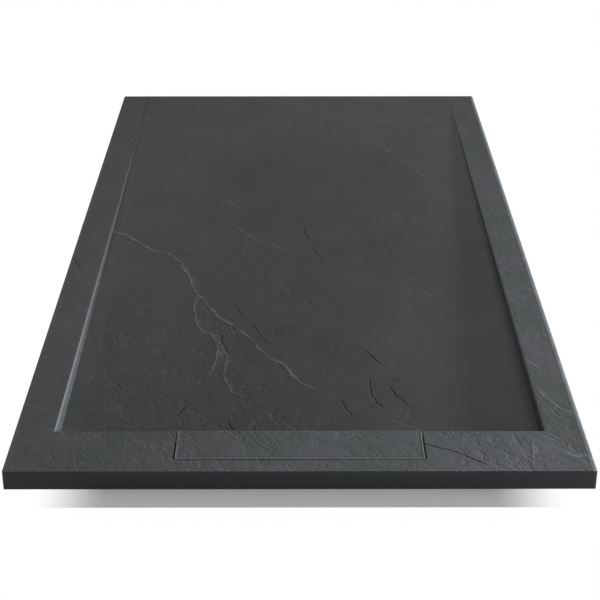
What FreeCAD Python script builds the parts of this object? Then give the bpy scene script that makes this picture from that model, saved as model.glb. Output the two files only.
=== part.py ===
"""Low-profile slate-effect shower tray with a flush drain cover and its waste trap.

Millimetres. The origin is the centre of the tray's flat underside, +Y runs from the
drain end to the shallow end, +X is to the right seen from the drain end, +Z is up.
The trap hangs below the underside, in the recess that the floor has for it.
"""
import FreeCAD
import Part
import math
import os

from FreeCAD import Vector

# ---- the cast tray
TRAY_LENGTH = 1800.0
TRAY_WIDTH = 900.0
TRAY_HEIGHT = 32.0
SIDE_RIM = 63.0             # flat rim along both long sides
REAR_RIM = 63.0             # flat rim that the floor runs out into
FRONT_LIP = 34.0            # between the front edge and the drain trough
BASIN_DEPTH = 17.0          # at the drain end, falling to nothing at the rear
WALL_DRAFT = 14.0           # degrees that the basin's walls lean outwards
WALL_ARRIS = 1.5            # rounding along the top of the side walls, at the drain end
WALL_FOOT = 2.0             # rounding along their foot, at the drain end
RUN_OUT = 0.01              # share of its depth at which the basin's cut ends
OUTER_CORNER = 3.0
OUTER_ARRIS = 1.5
TROUGH_DROP = 5.0           # from the basin's floor down to the trough's
TROUGH_CORNER = 4.0
TROUGH_FOOT = 3.0
TROUGH_ARRIS = 1.0

# ---- the drain cover, cast in the same resin
COVER_LENGTH = 384.0        # along X
COVER_DEPTH = 83.0          # along Y
COVER_THICKNESS = 8.0
COVER_SIDE_GAP = 2.2
COVER_FRONT_GAP = 2.0
COVER_CORNER = 2.0
COVER_ARRIS = 1.0
FOOT_TOP_RADIUS = 8.0
FOOT_STEM_RADIUS = 6.0
FOOT_TIP_RADIUS = 4.5
FOOT_DISC = 2.0             # thickness of the disc that is bonded to the cover
FOOT_EDGE = 14.0            # from the cover's long edges to a foot's centre
FOOT_END = 20.0             # from the cover's short edges to the outer feet
FOOT_SPACING = 94.0         # from an outer foot to the inner one beside it

# ---- the waste, all of it turned about one upright axis
COLLAR_RADIUS = 28.0        # over its thread
COLLAR_WALL = 3.0
THREAD_LENGTH = 21.0        # of the collar in the trap's neck
THREAD_GAP = 0.15
HOLE_GAP = 2.0              # round the collar in the tray's hole
SEAT_DEPTH = 1.0            # ground into the underside, for the trap's seal
SEAT_MARGIN = 4.0           # from the trap's flange to the edge of that seat
FLANGE_THICKNESS = 2.0
FLANGE_DISH = 0.8           # fall of the flange's top towards its bore
FLANGE_EDGE = 0.5           # bevel
FLANGE_GAP = 1.0            # round the flange in its recess
FLANGE_MARGIN = 0.62        # between that recess and the rounded foot of the trough
FLANGE_SEAL = 1.5           # thickness
SEAL_MARGIN = 1.0           # both seals stop this far inside what clamps them
BODY_SEAL = 3.0             # thickness
LEDGE_DEPTH = 14.0          # from the trough's floor to the ledge that holds the dip tube
LEDGE_WIDTH = 1.8
NOTCH_COUNT = 6             # for the tool that tightens the collar
NOTCH_WIDTH = 5.0
NOTCH_CUT = 1.6
NOTCH_DEPTH = 6.0

# ---- the trap's body
BODY_OVERLAP = 16.0         # its flange reaches this far past the tray's hole
BODY_FLANGE = 4.0           # thickness
EDGE_BEVEL = 1.0            # on the moulded rims
NECK_WALL = 5.85
NECK_HEIGHT = 3.0
SLEEVE_WALL = 3.0
SLEEVE_SPARE = 2.0          # sleeve below the collar's end
BOWL_WALL = 3.0
BOWL_ROUND = 6.0            # conical at the shoulder, rounded at the bottom
WEIR_GAP = 6.85             # between the sleeve and the weir
WEIR_WALL = 2.5
WEIR_CHAMBER = 8.5          # between the weir and the bowl's wall, at its deepest
WATER_SEAL = 19.0           # from the dip tube's lower edge up to the weir's crest
GRIP_RIBS = 12
GRIP_RIB_WIDTH = 3.0
GRIP_RIB_PROUD = 1.5

# ---- the lift-out dip tube and the hair strainer
TUBE_RIM_GAP = 0.4
TUBE_RIM = 2.0
TUBE_GAP = 0.6              # round its sealed head in the ledge's bore
TUBE_WALL = 3.2             # of the head
TUBE_STEP = 1.0             # from the head down to the thinner skirt
TUBE_HEAD = 16.0            # length of the head
TUBE_EDGE = 0.8             # bevel
TUBE_THROAT = 9.0           # between its lower edge and the bowl's floor
RING_THICKNESS = 2.0
RING_DEPTH = 8.0            # from the ledge to the ring's middle
RING_GAP = 0.2              # round the ring in the ledge's bore
GROOVE_SPARE = 0.4          # room for the ring along its groove
PULL_BAR_WIDTH = 5.0
PULL_BAR_HEIGHT = 4.0
PULL_BAR_DEPTH = 14.0       # from the ledge to the bar's lower face
PULL_BAR_ROOT = 0.5         # of the bar inside the tube's wall
STRAINER_RIM = 1.5
STRAINER_GAP = 0.6
BASKET_GAP = 1.9            # round the basket in the dip tube
BASKET_WALL = 1.5
BASKET_DEPTH = 7.5
STRAINER_HOLE_RADIUS = 1.75
FIRST_HOLES = 6.5           # radius of the inner ring of holes
HOLE_PITCH = 5.5            # from one ring of holes to the next
HOLES_PER_RING = 6          # in the first ring, twice as many in the second and so on
KNOB_STEM_RADIUS = 3.0
KNOB_RADIUS = 7.0
KNOB_THICKNESS = 3.0
KNOB_RISE = 6.0             # from the strainer's rim to the knob's head

# ---- the outlet, turned about a level axis that runs to +Y
PIPE_RADIUS = 20.0          # of the waste pipe that it takes
SOCKET_GAP = 0.3
SOCKET_LENGTH = 25.0
SOCKET_STANDOFF = 14.0      # from the bowl to the shoulder that the pipe stops against
PIPE_STOP = 2.3             # height of that shoulder
SPIGOT_WALL = 4.7           # over its thread
SPIGOT_THREAD = 16.0
SPIGOT_ROOT = 1.2           # the plain spigot is this much thinner than the thread
MOUTH_DEPTH = 4.0
MOUTH_LAND = 1.0
CONE_GAP = 0.05
CONE_HEEL = 3.0             # rubber that stands out of the mouth
CONE_BORE_GAP = 0.9         # round the pipe
SLIP_RING = 1.5
RING_BORE_GAP = 0.8
NUT_BORE_GAP = 1.0
NUT_WALL = 3.0
NUT_BACK = 4.0
NUT_GRIP = 14.0             # length of thread inside the nut
NUT_NOSE = 2.0              # bevel round its open end
NUT_RIBS = 12
NUT_RIB_RADIUS = 1.4
NUT_RIB_SUNK = 0.2          # from the nut's surface to a rib's axis
NUT_HEADROOM = 4.65         # between the nut and the tray's underside
NUT_FOOTROOM = 0.65         # between the nut and the level of the bowl's bottom

# ---- levels and places that follow from these
FRONT = -TRAY_LENGTH / 2
REAR = TRAY_LENGTH / 2
BASIN_HALF = TRAY_WIDTH / 2 - SIDE_RIM
BASIN_REAR = REAR - REAR_RIM
TROUGH_FRONT = FRONT + FRONT_LIP
COVER_FRONT = TROUGH_FRONT + COVER_FRONT_GAP
BASIN_FRONT = COVER_FRONT + COVER_DEPTH     # the cover's back edge ends the front rim
BASIN_RUN = BASIN_REAR - BASIN_FRONT
LEAN = math.tan(math.radians(WALL_DRAFT))
TROUGH_REAR = BASIN_FRONT + BASIN_DEPTH * LEAN
TROUGH_HALF = COVER_LENGTH / 2 + COVER_SIDE_GAP
TROUGH_BED = TRAY_HEIGHT - BASIN_DEPTH - TROUGH_DROP
COVER_UNDERSIDE = TRAY_HEIGHT - COVER_THICKNESS
WASTE_Y = (TROUGH_FRONT + TROUGH_REAR) / 2
HOLE_RADIUS = COLLAR_RADIUS + HOLE_GAP
RECESS_RADIUS = (TROUGH_REAR - TROUGH_FRONT) / 2 - TROUGH_FOOT - FLANGE_MARGIN
FLANGE_RADIUS = RECESS_RADIUS - FLANGE_GAP
FLANGE_UNDERSIDE = TROUGH_BED - FLANGE_THICKNESS
RECESS_FLOOR = FLANGE_UNDERSIDE - FLANGE_SEAL
COLLAR_BORE_RADIUS = COLLAR_RADIUS - COLLAR_WALL
LEDGE = TROUGH_BED - LEDGE_DEPTH
LEDGE_BORE_RADIUS = COLLAR_BORE_RADIUS - LEDGE_WIDTH
BODY_TOP = SEAT_DEPTH - BODY_SEAL
BODY_FLANGE_RADIUS = HOLE_RADIUS + BODY_OVERLAP
COLLAR_END = BODY_TOP - THREAD_LENGTH
NECK_BORE_RADIUS = COLLAR_RADIUS + THREAD_GAP
SLEEVE_RADIUS = NECK_BORE_RADIUS + SLEEVE_WALL
WEIR_OFFSET = SLEEVE_RADIUS + WEIR_GAP      # this and the next are from the waste's axis
BOWL_INNER_RADIUS = WEIR_OFFSET + WEIR_WALL + WEIR_CHAMBER
BOWL_RADIUS = BOWL_INNER_RADIUS + BOWL_WALL
BOWL_ROOF = BODY_TOP - BODY_FLANGE - NECK_HEIGHT
SOCKET_RADIUS = PIPE_RADIUS + SOCKET_GAP
SOCKET_START = BOWL_RADIUS + SOCKET_STANDOFF
SOCKET_END = SOCKET_START + SOCKET_LENGTH
SPIGOT_RADIUS = SOCKET_RADIUS + SPIGOT_WALL
SPIGOT_END = SOCKET_END + MOUTH_DEPTH
MOUTH_RADIUS = SPIGOT_RADIUS - MOUTH_LAND
CONE_END = SPIGOT_END + CONE_HEEL
SLIP_RING_END = CONE_END + SLIP_RING
NUT_THREAD_RADIUS = SPIGOT_RADIUS + THREAD_GAP
NUT_RADIUS = NUT_THREAD_RADIUS + NUT_WALL
NUT_OUTER_RADIUS = NUT_RADIUS + NUT_RIB_RADIUS - NUT_RIB_SUNK
OUTLET_Z = -NUT_HEADROOM - NUT_OUTER_RADIUS
BOWL_BOTTOM = OUTLET_Z - NUT_OUTER_RADIUS - NUT_FOOTROOM
BOWL_FLOOR = BOWL_BOTTOM + BOWL_WALL
TUBE_END = BOWL_FLOOR + TUBE_THROAT
WEIR_CREST = TUBE_END + WATER_SEAL
TUBE_RADIUS = LEDGE_BORE_RADIUS - TUBE_GAP
TUBE_BORE_RADIUS = TUBE_RADIUS - TUBE_WALL
TUBE_TOP = LEDGE + TUBE_RIM
BASKET_RADIUS = TUBE_BORE_RADIUS - BASKET_GAP
STRAINER_TOP = TUBE_TOP + STRAINER_RIM
BEYOND = 5.0                # how far a cutting solid runs past the face that it cuts
NEAR = 1e-3                 # two levels this close are one


def rounded_wire(corners, place):
    """Closed wire through (u, v, radius) corners; place turns u and v into a point.

    A negative radius bevels its corner, with the bevel's ends where the arc's would be.
    """
    points = [place(u, v) for u, v, _ in corners]
    count = len(corners)
    stops = []
    for index, corner in enumerate(points):
        radius = corners[index][2]
        if radius == 0:
            stops.append((corner, None, corner))
            continue
        back = (points[index - 1] - corner).normalize()
        ahead = (points[(index + 1) % count] - corner).normalize()
        half = back.getAngle(ahead) / 2
        reach = abs(radius) / math.tan(half)
        middle = (back + ahead).normalize() * (radius / math.sin(half) - radius)
        stops.append((corner + back * reach, corner + middle, corner + ahead * reach))
    edges = []
    for index, (start, middle, end) in enumerate(stops):
        if corners[index][2] > 0:
            edges.append(Part.Arc(start, middle, end).toShape())
        elif corners[index][2] < 0:
            edges.append(Part.LineSegment(start, end).toShape())
        following = stops[(index + 1) % count][0]
        if (following - end).Length > 1e-6:
            edges.append(Part.LineSegment(end, following).toShape())
    return Part.Wire(edges)


def turned(corners):
    """Solid turned about the waste's upright axis from (radius, height, rounding)."""
    wire = rounded_wire(corners, lambda r, z: Vector(r, WASTE_Y, z))
    return Part.Face(wire).revolve(Vector(0, WASTE_Y, 0), Vector(0, 0, 1), 360)


def turned_level(corners):
    """Solid turned about the outlet's axis from (radius, reach from the waste, rounding)."""
    wire = rounded_wire(corners, lambda r, y: Vector(0, WASTE_Y + y, OUTLET_Z + r))
    return Part.Face(wire).revolve(Vector(0, WASTE_Y, OUTLET_Z), Vector(0, 1, 0), 360)


def ring(inner, outer, low, high):
    """Flat ring about the waste's axis."""
    return turned([(inner, low, 0), (outer, low, 0), (outer, high, 0), (inner, high, 0)])


def block(half_x, front, rear, low, high):
    """Box that is centred on X."""
    return Part.makeBox(2 * half_x, rear - front, high - low, Vector(-half_x, front, low))


def edges_where(shape, test):
    """Edges whose every vertex passes the test."""
    return [edge for edge in shape.Edges if all(test(v.Point) for v in edge.Vertexes)]


def upright_edges(shape):
    """Straight edges that run along Z."""
    return [edge for edge in shape.Edges
            if edge.BoundBox.XLength + edge.BoundBox.YLength < 1e-6]


def around(solid, count, axis_point, axis):
    """Copies of a solid at even turns about an axis."""
    copies = []
    for index in range(count):
        copy = solid.copy()
        copy.rotate(axis_point, axis, 360.0 * index / count)
        copies.append(copy)
    return copies


def basin_section(share):
    """The basin's cross-section where it has this share of its full depth.

    The depth and the two roundings shrink together, so the walls fade into the rear rim.
    """
    depth = BASIN_DEPTH * share
    arris = WALL_ARRIS * share
    foot = WALL_FOOT * share
    top = TRAY_HEIGHT
    wide = BASIN_HALF + arris * math.tan(math.radians(45 - WALL_DRAFT / 2))
    floor_half = BASIN_HALF - depth * LEAN
    y = BASIN_REAR - BASIN_RUN * share
    corners = [(-wide, top + BEYOND, 0), (-wide, top, 0), (-BASIN_HALF, top, arris),
               (-floor_half, top - depth, foot), (floor_half, top - depth, foot),
               (BASIN_HALF, top, arris), (wide, top, 0), (wide, top + BEYOND, 0)]
    return rounded_wire(corners, lambda x, z: Vector(x, y, z))


def basin_void():
    """Wedge that is cut from the slab: a plane floor with leaning walls on three sides."""
    past_front = 1 + 2 * BEYOND / BASIN_RUN
    wedge = Part.makeLoft([basin_section(past_front), basin_section(RUN_OUT)], True, True)
    low = -BEYOND
    high = TRAY_HEIGHT + 2 * BEYOND
    behind = BASIN_FRONT - 4 * BEYOND
    front_wall = [(behind, low, 0), (BASIN_FRONT + (TRAY_HEIGHT - low) * LEAN, low, 0),
                  (BASIN_FRONT + (TRAY_HEIGHT - high) * LEAN, high, 0), (behind, high, 0)]
    wire = rounded_wire(front_wall, lambda y, z: Vector(-TRAY_WIDTH / 2, y, z))
    return wedge.cut(Part.Face(wire).extrude(Vector(TRAY_WIDTH, 0, 0)))


def trough_void():
    """Pocket under the drain cover, open to the basin along its rear edge."""
    pocket = block(TROUGH_HALF, TROUGH_FRONT, TROUGH_REAR, TROUGH_BED, TRAY_HEIGHT + BEYOND)
    front_corners = [edge for edge in upright_edges(pocket)
                     if edge.Vertexes[0].Y < TROUGH_FRONT + 1]
    pocket = pocket.makeFillet(TROUGH_CORNER, front_corners)
    foot = edges_where(pocket, lambda p: p.z < TROUGH_BED + NEAR)
    return pocket.makeFillet(TROUGH_FOOT, foot)


def make_tray_body():
    slab = block(TRAY_WIDTH / 2, FRONT, REAR, 0, TRAY_HEIGHT)
    slab = slab.makeFillet(OUTER_CORNER, upright_edges(slab))
    slab = slab.makeFillet(OUTER_ARRIS, edges_where(slab, lambda p: p.z > TRAY_HEIGHT - NEAR))
    recess = ring(0, RECESS_RADIUS, RECESS_FLOOR, TROUGH_BED + BEYOND)
    hole = ring(0, HOLE_RADIUS, -BEYOND, TROUGH_BED)
    seat = ring(0, BODY_FLANGE_RADIUS + SEAT_MARGIN, -BEYOND, SEAT_DEPTH)
    tray = slab.cut([basin_void(), trough_void(), recess, hole, seat])
    trough_rim = edges_where(
        tray,
        lambda p: (p.z > TRAY_HEIGHT - NEAR and abs(p.x) < TROUGH_HALF + NEAR
                   and TROUGH_FRONT - NEAR < p.y < BASIN_FRONT + NEAR))
    return tray.makeFillet(TROUGH_ARRIS, trough_rim)


def make_drain_cover():
    cover = block(COVER_LENGTH / 2, COVER_FRONT, BASIN_FRONT, COVER_UNDERSIDE, TRAY_HEIGHT)
    cover = cover.makeFillet(COVER_CORNER, upright_edges(cover))
    return cover.makeFillet(COVER_ARRIS, edges_where(cover, lambda p: p.z > COVER_UNDERSIDE + NEAR))


def make_cover_feet():
    """Rubber feet that hold the cover level with the rim, clear of the waste's flange."""
    outline = [(0, TROUGH_BED), (FOOT_TIP_RADIUS, TROUGH_BED),
               (FOOT_STEM_RADIUS, COVER_UNDERSIDE - FOOT_DISC),
               (FOOT_TOP_RADIUS, COVER_UNDERSIDE - FOOT_DISC),
               (FOOT_TOP_RADIUS, COVER_UNDERSIDE), (0, COVER_UNDERSIDE)]
    wire = Part.makePolygon([Vector(r, 0, z) for r, z in outline + outline[:1]])
    foot = Part.Face(wire).revolve(Vector(0, 0, 0), Vector(0, 0, 1), 360)
    outer = COVER_LENGTH / 2 - FOOT_END
    feet = []
    for x in (-outer, FOOT_SPACING - outer, outer - FOOT_SPACING, outer):
        for y in (COVER_FRONT + FOOT_EDGE, BASIN_FRONT - FOOT_EDGE):
            feet.append(foot.translated(Vector(x, y, 0)))
    return Part.Compound(feet)


def make_waste_flange():
    """Dished flange with a threaded collar, a ledge for the dip tube and tool notches."""
    flange = turned([(COLLAR_BORE_RADIUS, TROUGH_BED - FLANGE_DISH, 0),
                     (FLANGE_RADIUS, TROUGH_BED, -FLANGE_EDGE),
                     (FLANGE_RADIUS, FLANGE_UNDERSIDE, 0),
                     (COLLAR_RADIUS, FLANGE_UNDERSIDE, 0),
                     (COLLAR_RADIUS, COLLAR_END, -EDGE_BEVEL),
                     (LEDGE_BORE_RADIUS, COLLAR_END, 0),
                     (LEDGE_BORE_RADIUS, LEDGE, 0),
                     (COLLAR_BORE_RADIUS, LEDGE, 0)])
    top = TROUGH_BED + BEYOND
    notch = Part.makeBox(COLLAR_BORE_RADIUS + NOTCH_CUT, NOTCH_WIDTH, NOTCH_DEPTH + BEYOND,
                         Vector(0, WASTE_Y - NOTCH_WIDTH / 2, top - NOTCH_DEPTH - BEYOND))
    return flange.cut(around(notch, NOTCH_COUNT, Vector(0, WASTE_Y, 0), Vector(0, 0, 1)))


def make_flange_seal():
    return ring(COLLAR_RADIUS + SEAL_MARGIN, FLANGE_RADIUS - SEAL_MARGIN,
                RECESS_FLOOR, FLANGE_UNDERSIDE)


def make_body_seal():
    return ring(HOLE_RADIUS + SEAL_MARGIN, BODY_FLANGE_RADIUS - SEAL_MARGIN,
                BODY_TOP, SEAT_DEPTH)


def bowl_void():
    """Room for water inside the trap, round the sleeve that takes the collar."""
    sleeve_end = COLLAR_END - SLEEVE_SPARE
    ceiling = BOWL_ROOF - BOWL_WALL
    bevel = BOWL_WALL - BOWL_ROUND
    return turned([(0, BODY_TOP + BEYOND, 0), (NECK_BORE_RADIUS, BODY_TOP + BEYOND, 0),
                   (NECK_BORE_RADIUS, sleeve_end, 0), (SLEEVE_RADIUS, sleeve_end, 0),
                   (SLEEVE_RADIUS, ceiling, 0), (BOWL_INNER_RADIUS, ceiling, bevel),
                   (BOWL_INNER_RADIUS, BOWL_FLOOR, bevel), (0, BOWL_FLOOR, 0)])


def make_trap_body():
    """Moulded bowl with a threaded neck, an inner weir and a threaded outlet spigot."""
    neck = NECK_BORE_RADIUS + NECK_WALL
    flange_low = BODY_TOP - BODY_FLANGE
    outside = turned([(0, BODY_TOP, 0), (BODY_FLANGE_RADIUS, BODY_TOP, -EDGE_BEVEL),
                      (BODY_FLANGE_RADIUS, flange_low, -EDGE_BEVEL), (neck, flange_low, 0),
                      (neck, BOWL_ROOF, 0), (BOWL_RADIUS, BOWL_ROOF, -BOWL_ROUND),
                      (BOWL_RADIUS, BOWL_BOTTOM, BOWL_ROUND), (0, BOWL_BOTTOM, 0)])
    rib = Part.makeBox(BOWL_RADIUS + GRIP_RIB_PROUD, GRIP_RIB_WIDTH,
                       BOWL_ROOF - BOWL_BOTTOM - 2 * BOWL_ROUND,
                       Vector(0, WASTE_Y - GRIP_RIB_WIDTH / 2, BOWL_BOTTOM + BOWL_ROUND))
    ribs = around(rib, GRIP_RIBS, Vector(0, WASTE_Y, 0), Vector(0, 0, 1))
    plain = SPIGOT_RADIUS - SPIGOT_ROOT
    thread_start = SPIGOT_END - SPIGOT_THREAD
    spigot = turned_level([(0, 0, 0), (plain, 0, 0), (plain, thread_start, 0),
                           (SPIGOT_RADIUS, thread_start, 0), (SPIGOT_RADIUS, SPIGOT_END, 0),
                           (0, SPIGOT_END, 0)])
    void = bowl_void()
    behind_weir = WEIR_OFFSET + WEIR_WALL
    bore = turned_level([(0, behind_weir, 0), (SOCKET_RADIUS - PIPE_STOP, behind_weir, 0),
                         (SOCKET_RADIUS - PIPE_STOP, SOCKET_START, 0),
                         (SOCKET_RADIUS, SOCKET_START, 0), (SOCKET_RADIUS, SOCKET_END, 0),
                         (MOUTH_RADIUS, SPIGOT_END, 0), (MOUTH_RADIUS, SPIGOT_END + BEYOND, 0),
                         (0, SPIGOT_END + BEYOND, 0)])
    weir = block(BOWL_RADIUS, WASTE_Y + WEIR_OFFSET, WASTE_Y + WEIR_OFFSET + WEIR_WALL,
                 BOWL_BOTTOM + BOWL_WALL / 2, WEIR_CREST)
    skin = outside.fuse(ribs + [spigot]).cut([void, bore])
    return skin.fuse(weir.common(outside)).removeSplitter()


def make_dip_tube():
    """Lift-out tube that stands in the water, with a groove for its ring and a pull bar."""
    rim_radius = COLLAR_BORE_RADIUS - TUBE_RIM_GAP
    head_end = LEDGE - TUBE_HEAD
    skirt = TUBE_RADIUS - TUBE_STEP
    groove_half = (RING_THICKNESS + GROOVE_SPARE) / 2
    groove = LEDGE - RING_DEPTH
    groove_radius = LEDGE_BORE_RADIUS - RING_GAP - RING_THICKNESS
    tube = turned([(TUBE_BORE_RADIUS, TUBE_TOP, 0), (rim_radius, TUBE_TOP, 0),
                   (rim_radius, LEDGE, 0), (TUBE_RADIUS, LEDGE, 0),
                   (TUBE_RADIUS, groove + groove_half, 0),
                   (groove_radius, groove + groove_half, 0),
                   (groove_radius, groove - groove_half, 0),
                   (TUBE_RADIUS, groove - groove_half, 0), (TUBE_RADIUS, head_end, 0),
                   (skirt, head_end - TUBE_STEP, 0), (skirt, TUBE_END, -TUBE_EDGE),
                   (TUBE_BORE_RADIUS, TUBE_END, 0)])
    bar_low = LEDGE - PULL_BAR_DEPTH
    bar = block(TUBE_BORE_RADIUS + PULL_BAR_ROOT, WASTE_Y - PULL_BAR_WIDTH / 2,
                WASTE_Y + PULL_BAR_WIDTH / 2, bar_low, bar_low + PULL_BAR_HEIGHT)
    return tube.fuse(bar).removeSplitter()


def make_dip_tube_ring():
    """Rubber ring in the dip tube's groove."""
    section = RING_THICKNESS / 2
    radius = LEDGE_BORE_RADIUS - RING_GAP - section
    return Part.makeTorus(radius, section, Vector(0, WASTE_Y, LEDGE - RING_DEPTH))


def make_hair_strainer():
    """Perforated basket with a knob, hung in the dip tube's mouth."""
    inner = BASKET_RADIUS - BASKET_WALL
    low = STRAINER_TOP - BASKET_DEPTH
    head = STRAINER_TOP + KNOB_RISE
    rim_radius = COLLAR_BORE_RADIUS - STRAINER_GAP
    basket = turned([(0, low, 0), (BASKET_RADIUS, low, -EDGE_BEVEL), (BASKET_RADIUS, TUBE_TOP, 0),
                     (rim_radius, TUBE_TOP, 0), (rim_radius, STRAINER_TOP, -STRAINER_RIM / 3),
                     (inner, STRAINER_TOP, 0), (inner, low + BASKET_WALL, 0),
                     (KNOB_STEM_RADIUS, low + BASKET_WALL, 0), (KNOB_STEM_RADIUS, head, 0),
                     (KNOB_RADIUS, head, -EDGE_BEVEL),
                     (KNOB_RADIUS, head + KNOB_THICKNESS, -EDGE_BEVEL),
                     (0, head + KNOB_THICKNESS, 0)])
    rings = 1 + int((inner - STRAINER_HOLE_RADIUS - FIRST_HOLES) / HOLE_PITCH)
    holes = []
    for number in range(rings):
        hole = Part.makeCylinder(STRAINER_HOLE_RADIUS, 2 * BASKET_WALL,
                                 Vector(FIRST_HOLES + number * HOLE_PITCH, WASTE_Y,
                                        low - BASKET_WALL / 2))
        holes += around(hole, HOLES_PER_RING * (number + 1), Vector(0, WASTE_Y, 0),
                        Vector(0, 0, 1))
    return basket.cut(holes)


def make_outlet_cone_seal():
    """Tapered rubber ring that the nut wedges between the mouth and the pipe."""
    bore = PIPE_RADIUS + CONE_BORE_GAP
    heel = MOUTH_RADIUS - CONE_GAP
    slope = MOUTH_DEPTH / (MOUTH_RADIUS - SOCKET_RADIUS)
    toe = bore + CONE_GAP
    toe_reach = SOCKET_END + (toe + CONE_GAP - SOCKET_RADIUS) * slope
    return turned_level([(bore, toe_reach, 0), (toe, toe_reach, 0), (heel, SPIGOT_END, 0),
                         (heel, CONE_END, 0), (bore, CONE_END, 0)])


def make_outlet_slip_ring():
    """Hard washer that keeps the turning nut from dragging the seal round."""
    return turned_level([(PIPE_RADIUS + RING_BORE_GAP, CONE_END, 0),
                         (MOUTH_RADIUS - CONE_GAP, CONE_END, 0),
                         (MOUTH_RADIUS - CONE_GAP, SLIP_RING_END, 0),
                         (PIPE_RADIUS + RING_BORE_GAP, SLIP_RING_END, 0)])


def make_outlet_nut():
    """Ribbed nut on the spigot's thread."""
    start = SPIGOT_END - NUT_GRIP
    end = SLIP_RING_END + NUT_BACK
    axis_point = Vector(0, WASTE_Y, OUTLET_Z)
    shell = turned_level([(0, start, 0), (NUT_RADIUS, start, -EDGE_BEVEL), (NUT_RADIUS, end, -NUT_NOSE),
                          (0, end, 0)])
    rib_start = start + 1.5 * EDGE_BEVEL
    rib = Part.makeCylinder(
        NUT_RIB_RADIUS, end - 1.5 * NUT_NOSE - rib_start,
        Vector(0, WASTE_Y + rib_start, OUTLET_Z + NUT_RADIUS - NUT_RIB_SUNK), Vector(0, 1, 0))
    ribs = around(rib, NUT_RIBS, axis_point, Vector(0, 1, 0))
    void = turned_level([(0, start - BEYOND, 0), (NUT_THREAD_RADIUS, start - BEYOND, 0),
                         (NUT_THREAD_RADIUS, SPIGOT_END, 0), (MOUTH_RADIUS, SPIGOT_END, 0),
                         (MOUTH_RADIUS, SLIP_RING_END, 0),
                         (PIPE_RADIUS + NUT_BORE_GAP, SLIP_RING_END, 0),
                         (PIPE_RADIUS + NUT_BORE_GAP, end + BEYOND, 0), (0, end + BEYOND, 0)])
    return shell.fuse(ribs).cut(void).removeSplitter()


PIECES = {
    "tray_body": make_tray_body,
    "drain_cover": make_drain_cover,
    "cover_feet": make_cover_feet,
    "waste_flange": make_waste_flange,
    "flange_seal": make_flange_seal,
    "body_seal": make_body_seal,
    "trap_body": make_trap_body,
    "dip_tube": make_dip_tube,
    "dip_tube_ring": make_dip_tube_ring,
    "hair_strainer": make_hair_strainer,
    "outlet_cone_seal": make_outlet_cone_seal,
    "outlet_slip_ring": make_outlet_slip_ring,
    "outlet_nut": make_outlet_nut,
}

os.makedirs("parts", exist_ok=True)
for name, make in PIECES.items():
    shape = make()
    shape.exportStep(f"parts/{name}.step")
    box = shape.BoundBox
    print(f"{name}: {len(shape.Solids)} solids, {shape.Volume / 1000:.1f} cm3, "
          f"valid {shape.isValid()}, x {box.XMin:.1f}..{box.XMax:.1f}, "
          f"y {box.YMin:.1f}..{box.YMax:.1f}, z {box.ZMin:.1f}..{box.ZMax:.1f}")
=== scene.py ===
"""Look of a low shower tray cast in slate-effect resin, with its drain cover and trap.

The tray and its cover are rebuilt as fine surfaces that carry the relief of riven slate,
with the light veins and the dark cracks that the mould was taken from. The seals, the
flange and the trap keep their CAD shape and get the finish of their real material.
Sizes are in millimetres here and become metres where a mesh is made.
"""
import math

import bpy
import numpy as np
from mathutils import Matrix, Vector


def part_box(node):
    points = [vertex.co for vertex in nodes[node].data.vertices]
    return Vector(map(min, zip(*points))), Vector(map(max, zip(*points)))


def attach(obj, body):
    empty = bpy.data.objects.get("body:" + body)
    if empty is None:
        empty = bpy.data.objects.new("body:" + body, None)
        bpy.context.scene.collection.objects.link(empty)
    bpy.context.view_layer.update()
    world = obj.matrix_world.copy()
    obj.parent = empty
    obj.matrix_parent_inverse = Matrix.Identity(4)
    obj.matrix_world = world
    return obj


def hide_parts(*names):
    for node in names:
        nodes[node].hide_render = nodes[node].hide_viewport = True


MM = 0.001

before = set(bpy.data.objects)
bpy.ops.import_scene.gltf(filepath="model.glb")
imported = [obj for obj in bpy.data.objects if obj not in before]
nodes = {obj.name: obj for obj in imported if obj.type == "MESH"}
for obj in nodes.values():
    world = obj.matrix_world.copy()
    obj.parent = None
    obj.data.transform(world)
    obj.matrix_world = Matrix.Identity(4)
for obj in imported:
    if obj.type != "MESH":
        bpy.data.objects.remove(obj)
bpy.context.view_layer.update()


def box_mm(node):
    """Lowest and highest corner of a CAD node, in millimetres."""
    low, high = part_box(node)
    return np.array(low) / MM, np.array(high) / MM


# ---- sizes that the frame gives
_, TRAY_HIGH = box_mm("tray_body")
COVER_LOW, COVER_HIGH = box_mm("drain_cover")
FLANGE_LOW, FLANGE_HIGH = box_mm("waste_flange")
HALF_WIDTH = TRAY_HIGH[0]
HALF_LENGTH = TRAY_HIGH[1]
TRAY_HALF = (HALF_WIDTH, HALF_LENGTH)
RIM = TRAY_HIGH[2]
WASTE_Y = (FLANGE_LOW[1] + FLANGE_HIGH[1]) / 2
TROUGH_BED = FLANGE_HIGH[2]
FLANGE_RADIUS = (FLANGE_HIGH[0] - FLANGE_LOW[0]) / 2

# ---- the tray's own sizes, as it was modelled
RIM_WIDTH = 63.0
BASIN_DEPTH = 17.0
WALL_DRAFT = math.radians(14)
WALL_ARRIS = 1.5
WALL_FOOT = 2.0
STEP_ARRIS = 1.0            # along the front of the basin
STEP_FOOT = 1.5
OUTER_CORNER = 3.0
OUTER_ARRIS = 1.5
SIDE_GAP = 2.2              # beside the cover
FRONT_GAP = 2.0             # in front of it
TROUGH_CORNER = 4.0
TROUGH_ARRIS = 1.0
TROUGH_FOOT = 3.0
COVER_CORNER = 2.0
COVER_ARRIS = 1.0
BOTTOM_BEVEL = 0.5
RECESS_RADIUS = FLANGE_RADIUS + 1.0
RECESS_FLOOR = TROUGH_BED - 3.5
HOLE_RADIUS = 30.0
SEAT_RADIUS = 50.0
SEAT_DEPTH = 1.0

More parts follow.
